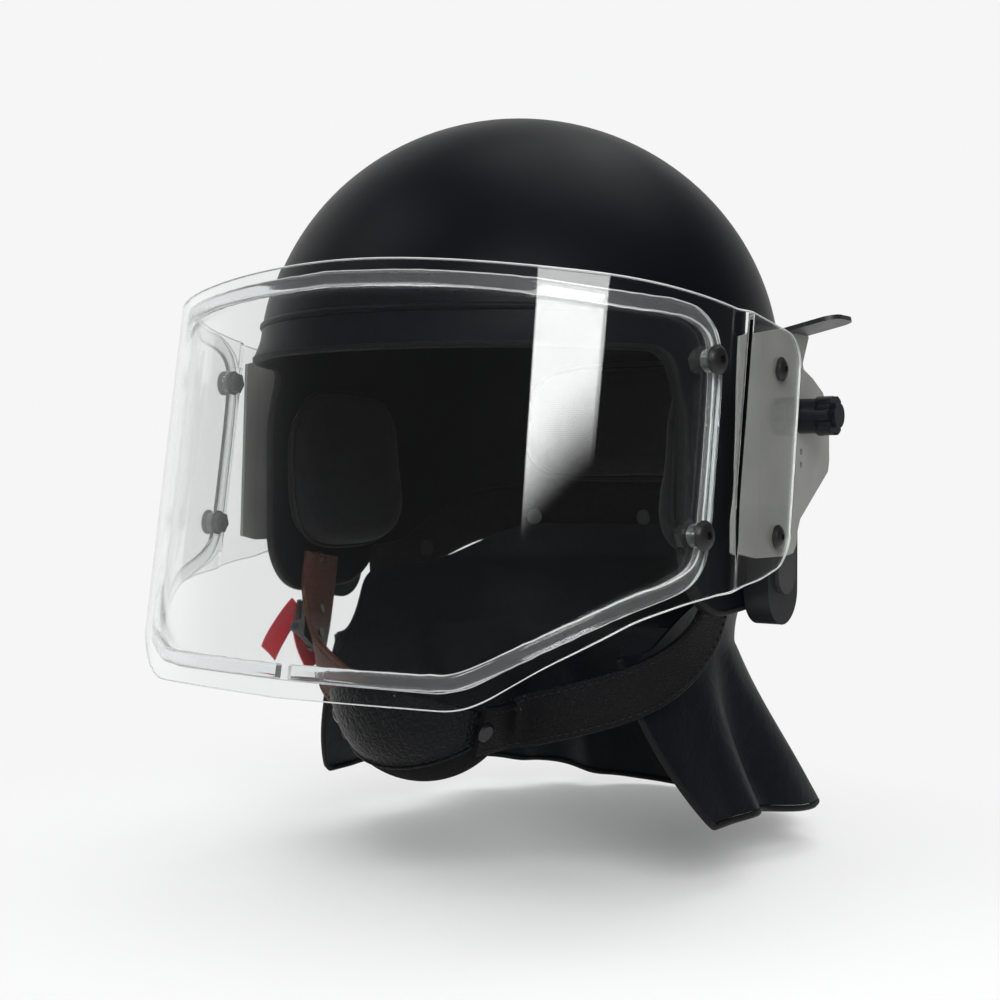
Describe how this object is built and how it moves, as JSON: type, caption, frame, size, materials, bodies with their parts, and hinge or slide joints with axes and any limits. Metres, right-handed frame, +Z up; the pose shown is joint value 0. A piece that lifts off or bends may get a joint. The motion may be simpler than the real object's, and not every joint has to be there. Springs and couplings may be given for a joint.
{
  "type": "tactical helmet",
  "caption": "Riot helmet: one-piece shell with lined head cavity, clear double visor on pivoting metal brackets, cupped chin strap with quick release, and a hanging neck cape.",
  "frame": {"origin": "midway between the two visor pivots, inside the head cavity", "axes": "+X towards the wearer's left, -Y out of the face opening, +Z up"},
  "size_m": [0.3379, 0.3647, 0.3668],
  "materials": {
    "shell_gloss": "satin black paint",
    "trim_rubber": "matt",
    "liner_foam": "matt foam",
    "cushion_cloth": "brushed cloth",
    "base_plastic": "satin",
    "dark_steel": "satin black coat",
    "bare_steel": "plain",
    "clear_pane": "clear polished",
    "clear_gasket": "clear moulded seal",
    "knob_plastic": "satin",
    "cup_leather": "grained",
    "lining_fabric": "velvety",
    "strap_leather": "smooth",
    "strap_brown": "smooth",
    "ribbon_fabric": "woven",
    "band_fabric": "fleece",
    "cape_cloth": "coated cloth"
  },
  "bodies": {
    "helmet": {"shell": "shell_gloss", "brow_line": "shell_gloss", "edge_trim": "trim_rubber", "liner_foam": "liner_foam", "crown_pad": "cushion_cloth", "brow_pad": "cushion_cloth", "rear_pad": "cushion_cloth", "left_ear_pad": "cushion_cloth", "right_ear_pad": "cushion_cloth", "left_hinge_base": "base_plastic", "right_hinge_base": "base_plastic", "left_base_plate": "dark_steel", "right_base_plate": "dark_steel", "base_screws": "dark_steel", "base_nuts": "bare_steel", "left_pivot_bolt": "bare_steel", "right_pivot_bolt": "bare_steel", "left_friction_washer": "trim_rubber", "right_friction_washer": "trim_rubber", "chin_cup": "cup_leather", "chin_cup_lining": "lining_fabric", "left_chin_strap": "strap_leather", "right_chin_strap": "strap_brown", "strap_studs": "bare_steel", "buckle_body": "dark_steel", "nape_band": "band_fabric", "neck_cape": "cape_cloth", "cape_piping": "cape_cloth", "cape_snaps": "bare_steel"},
    "visor": {"left_bracket": "dark_steel", "right_bracket": "dark_steel", "outer_pane": "clear_pane", "inner_pane": "clear_pane", "visor_gasket": "clear_gasket", "pane_screws": "dark_steel", "pane_spacers": "clear_gasket", "pane_nuts": "bare_steel", "wing_screws": "dark_steel", "wing_nuts": "bare_steel"},
    "left_thumb_nut": {"left_collar": "knob_plastic", "left_knob": "knob_plastic"},
    "right_thumb_nut": {"right_collar": "knob_plastic", "right_knob": "knob_plastic"},
    "release_lever": {"buckle_pawl": "dark_steel", "pull_ribbon": "ribbon_fabric"}
  },
  "joints": [
    {"name": "visor_hinge", "type": "hinge", "parent": "helmet", "child": "visor", "pos_m": [0, 0, 0], "axis": [-1, 0, 0], "range_deg": [0, 70]},
    {"name": "left_knob_turn", "type": "hinge", "parent": "helmet", "child": "left_thumb_nut", "pos_m": [0.157, 0, 0], "axis": [1, 0, 0], "continuous": true},
    {"name": "right_knob_turn", "type": "hinge", "parent": "helmet", "child": "right_thumb_nut", "pos_m": [-0.157, 0, 0], "axis": [-1, 0, 0], "continuous": true},
    {"name": "buckle_release", "type": "hinge", "parent": "helmet", "child": "release_lever", "pos_m": [-0.11553, -0.04224, -0.11248], "axis": [0.1176, -0.7831, 0.6107], "range_deg": [0, 35]}
  ]
}
